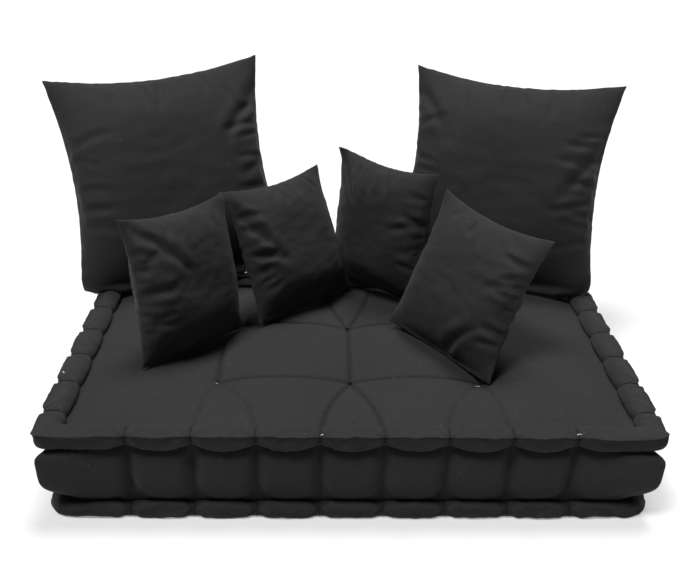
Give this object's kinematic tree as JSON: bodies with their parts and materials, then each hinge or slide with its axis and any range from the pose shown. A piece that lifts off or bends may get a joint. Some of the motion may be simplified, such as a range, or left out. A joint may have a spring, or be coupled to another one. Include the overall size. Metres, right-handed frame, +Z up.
{
  "type": "floor futon",
  "caption": "Tufted floor mattress with rolled, tied edges, two large square back cushions and four small square cushions.",
  "frame": {"origin": "centre of the mattress underside, on the floor", "axes": "+Z up, -Y towards the open front of the seat, +X to the right as seen from the front"},
  "size_m": [1.4053, 0.9948, 0.7096],
  "materials": {
    "black_cotton": "matte plain-weave cotton",
    "filling": "loose cotton filling",
    "twine": "waxed cotton twine"
  },
  "bodies": {
    "mattress": {"mattress_top_panel": "black_cotton", "mattress_bottom_panel": "black_cotton", "mattress_border": "black_cotton", "mattress_filling": "filling", "mattress_top_roll": "black_cotton", "mattress_bottom_roll": "black_cotton", "tuft_twines": "twine", "top_edge_ties": "twine", "bottom_edge_ties": "twine"},
    "left_back_cushion": {"left_back_cushion_front_panel": "black_cotton", "left_back_cushion_back_panel": "black_cotton", "left_back_cushion_insert": "filling"},
    "right_back_cushion": {"right_back_cushion_front_panel": "black_cotton", "right_back_cushion_back_panel": "black_cotton", "right_back_cushion_insert": "filling"},
    "inner_left_cushion": {"inner_left_cushion_front_panel": "black_cotton", "inner_left_cushion_back_panel": "black_cotton", "inner_left_cushion_insert": "filling"},
    "inner_right_cushion": {"inner_right_cushion_front_panel": "black_cotton", "inner_right_cushion_back_panel": "black_cotton", "inner_right_cushion_insert": "filling"},
    "outer_left_cushion": {"outer_left_cushion_front_panel": "black_cotton", "outer_left_cushion_back_panel": "black_cotton", "outer_left_cushion_insert": "filling"},
    "outer_right_cushion": {"outer_right_cushion_front_panel": "black_cotton", "outer_right_cushion_back_panel": "black_cotton", "outer_right_cushion_insert": "filling"}
  },
  "joints": [
    {"name": "left_back_cushion_lift", "type": "slide", "parent": "mattress", "child": "left_back_cushion", "axis": [0, 0.5, 0.866], "range_m": [0, 0.6]},
    {"name": "right_back_cushion_lift", "type": "slide", "parent": "mattress", "child": "right_back_cushion", "axis": [0, 0.5, 0.866], "range_m": [0, 0.6]},
    {"name": "inner_left_cushion_lift", "type": "slide", "parent": "mattress", "child": "inner_left_cushion", "axis": [-0.433, 0.25, 0.866], "range_m": [0, 0.3]},
    {"name": "inner_right_cushion_lift", "type": "slide", "parent": "mattress", "child": "inner_right_cushion", "axis": [0, 0.5, 0.866], "range_m": [0, 0.3]},
    {"name": "outer_left_cushion_lift", "type": "slide", "parent": "mattress", "child": "outer_left_cushion", "axis": [0, -0.5, 0.866], "range_m": [0, 0.3]},
    {"name": "outer_right_cushion_lift", "type": "slide", "parent": "mattress", "child": "outer_right_cushion", "axis": [0, -0.5, 0.866], "range_m": [0, 0.3]}
  ]
}
